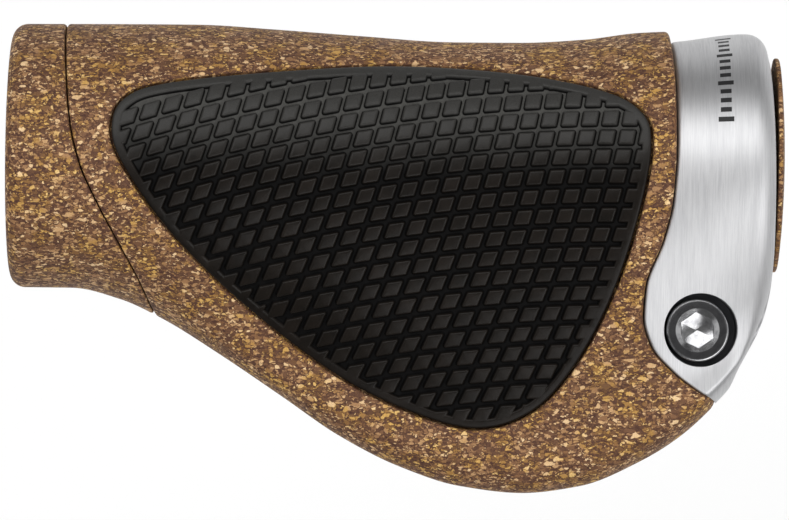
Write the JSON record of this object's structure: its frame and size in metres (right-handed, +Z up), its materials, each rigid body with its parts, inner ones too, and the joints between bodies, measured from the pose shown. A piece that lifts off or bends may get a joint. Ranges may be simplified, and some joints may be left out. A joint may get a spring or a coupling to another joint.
{
  "type": "winged lock-on handlebar grip",
  "caption": "Right-hand ergonomic bicycle grip with a cork body and palm wing, a rubber palm pad, a bolted aluminium clamp and an end plug.",
  "frame": {"origin": "on the handlebar's axis, in the plane of the grip's inboard end face", "axes": "+X outboard along the handlebar, +Y forwards over the handlebar's front, +Z up; the palm wing reaches to -Y"},
  "size_m": [0.1001, 0.0601, 0.0346],
  "materials": {
    "cork": "cork granules bound in brown rubber, matte and speckled",
    "nylon": "glass-filled black nylon, satin",
    "pad_rubber": "soft black rubber with raised rhombic studs, matte",
    "clamp_aluminium": "forged aluminium, brushed across the bar's axis",
    "steel": "plain zinc-plated steel",
    "bolt_steel": "bright polished steel"
  },
  "bodies": {
    "grip": {"grip_body": "cork", "thumb_collar": "cork", "core_sleeve": "nylon", "palm_frame": "nylon", "palm_pad": "pad_rubber"},
    "clamp": {"clamp_body": "clamp_aluminium", "thread_insert": "steel"},
    "washer": {"bolt_washer": "steel"},
    "bolt": {"clamp_bolt": "bolt_steel"},
    "plug": {"plug_stem": "nylon", "plug_cap": "cork"}
  },
  "joints": [
    {"name": "clamp_slide", "type": "slide", "parent": "grip", "child": "clamp", "axis": [1, 0, 0], "range_m": [0, 0.018]},
    {"name": "plug_pull", "type": "slide", "parent": "clamp", "child": "plug", "axis": [1, 0, 0], "range_m": [0, 0.025]},
    {"name": "washer_lift", "type": "slide", "parent": "clamp", "child": "washer", "axis": [0, 0, 1], "range_m": [0, 0.0048]},
    {"name": "bolt_turn", "type": "hinge", "parent": "washer", "child": "bolt", "pos_m": [0.08885, -0.02145, 0.0068], "axis": [0, 0, 1], "range_deg": [0, 2160]}
  ],
  "couplings": [
    {"joint": "bolt_turn", "follows": "washer_lift", "rad_per_m": 7854}
  ]
}
